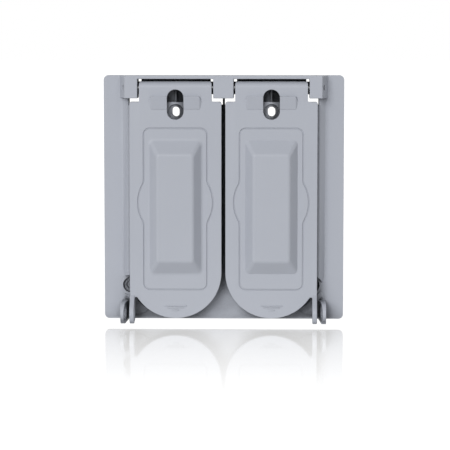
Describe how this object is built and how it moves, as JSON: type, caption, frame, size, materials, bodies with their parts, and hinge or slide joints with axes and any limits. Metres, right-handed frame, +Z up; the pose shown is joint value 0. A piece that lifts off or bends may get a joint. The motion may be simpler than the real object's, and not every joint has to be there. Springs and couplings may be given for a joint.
{
  "type": "two-gang weatherproof wall cover",
  "caption": "Painted cast outdoor wall cover over two rocker or decorator devices, with two self-closing flip-up lids and padlock ears.",
  "frame": {"origin": "centre of the wall face, on the wall gasket's rear face", "axes": "+Z up, +X to the right as seen from the front, +Y into the wall; the front faces -Y"},
  "size_m": [0.116, 0.0197, 0.1193],
  "materials": {
    "cast_paint": "satin blue-grey paint on a die casting",
    "foam": "matt closed-cell foam",
    "stainless": "drawn wire, bright"
  },
  "bodies": {
    "base": {"cover_base": "cast_paint", "wall_gasket": "foam", "left_hinge_pin": "stainless", "right_hinge_pin": "stainless", "left_lid_spring": "stainless", "right_lid_spring": "stainless"},
    "left_lid": {"left_lid": "cast_paint", "left_lid_gasket": "foam"},
    "right_lid": {"right_lid": "cast_paint", "right_lid_gasket": "foam"}
  },
  "joints": [
    {"name": "left_lid_hinge", "type": "hinge", "parent": "base", "child": "left_lid", "pos_m": [-0.02302, -0.01, 0.0533], "axis": [-1, 0, 0], "range_deg": [0, 95], "stiffness_Nm_per_rad": 0.02, "springref_deg": -57.3, "deforming": ["left_lid_spring"]},
    {"name": "right_lid_hinge", "type": "hinge", "parent": "base", "child": "right_lid", "pos_m": [0.02302, -0.01, 0.0533], "axis": [-1, 0, 0], "range_deg": [0, 95], "stiffness_Nm_per_rad": 0.02, "springref_deg": -57.3, "deforming": ["right_lid_spring"]}
  ]
}
